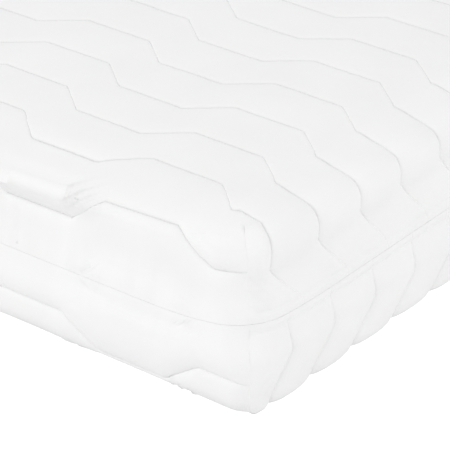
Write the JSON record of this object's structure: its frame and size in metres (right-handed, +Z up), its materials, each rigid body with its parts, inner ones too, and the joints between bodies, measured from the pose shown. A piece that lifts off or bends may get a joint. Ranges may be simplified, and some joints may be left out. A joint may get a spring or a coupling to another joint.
{
  "type": "pressure relief mattress",
  "caption": "Foam hospital mattress with a castellated visco top layer, in a white quilted cover that zips apart all round at mid height.",
  "frame": {"origin": "centre of the underside, on the surface that the mattress lies on", "axes": "+X along the length to the foot end, +Y across the width to the side with the slider, +Z up"},
  "size_m": [2, 0.9, 0.2],
  "materials": {
    "cover_knit": "quilted double jersey knit, matt",
    "wadding": "lofted polyester fibre",
    "lining": "thin spun backing",
    "seam_allowance": "overlocked cut edges",
    "hem_binding": "folded woven tape",
    "zip_tape": "herringbone woven polyester tape",
    "zip_coil": "nylon monofilament, satin",
    "zip_plastic": "moulded, satin",
    "zip_metal": "die-cast zinc, white enamel",
    "label_satin": "blank satin ribbon",
    "visco_foam": "open-cell viscoelastic foam, cut surface",
    "comfort_foam": "open-cell high-resilience foam, cut surface",
    "bolster_foam": "firm open-cell foam, cut surface",
    "base_foam": "firm open-cell foam, cut surface"
  },
  "bodies": {
    "lower_cover": {"lower_cover_fabric": "cover_knit", "lower_cover_wadding": "wadding", "lower_cover_lining": "lining", "lower_corner_seams": "seam_allowance", "lower_hem_binding": "hem_binding", "lower_zip_tape": "zip_tape", "lower_zip_coil": "zip_coil", "lower_top_stop": "zip_plastic", "zip_end_box": "zip_plastic", "care_label": "label_satin"},
    "core": {"base_core": "base_foam", "comfort_layer": "comfort_foam", "left_bolster": "bolster_foam", "right_bolster": "bolster_foam", "visco_cube_layer": "visco_foam"},
    "upper_cover": {"upper_cover_fabric": "cover_knit", "upper_cover_wadding": "wadding", "upper_cover_lining": "lining", "upper_corner_seams": "seam_allowance", "upper_hem_binding": "hem_binding", "upper_zip_tape": "zip_tape", "upper_zip_coil": "zip_coil", "upper_top_stop": "zip_plastic", "zip_insertion_pin": "zip_plastic"},
    "slider": {"zip_slider": "zip_metal"},
    "pull": {"zip_pull": "zip_metal"}
  },
  "joints": [
    {"name": "core_lift", "type": "slide", "parent": "lower_cover", "child": "core", "axis": [0, 0, 1], "range_m": [0, 0.25]},
    {"name": "upper_cover_lift", "type": "slide", "parent": "core", "child": "upper_cover", "axis": [0, 0, 1], "range_m": [0, 0.25]},
    {"name": "slider_travel", "type": "slide", "parent": "lower_cover", "child": "slider", "axis": [1, 0, 0], "range_m": [0, 1.83]},
    {"name": "pull_swing", "type": "hinge", "parent": "slider", "child": "pull", "pos_m": [-0.909, 0.441, 0.097], "axis": [0, 0, 1], "range_deg": [0, 175]}
  ]
}
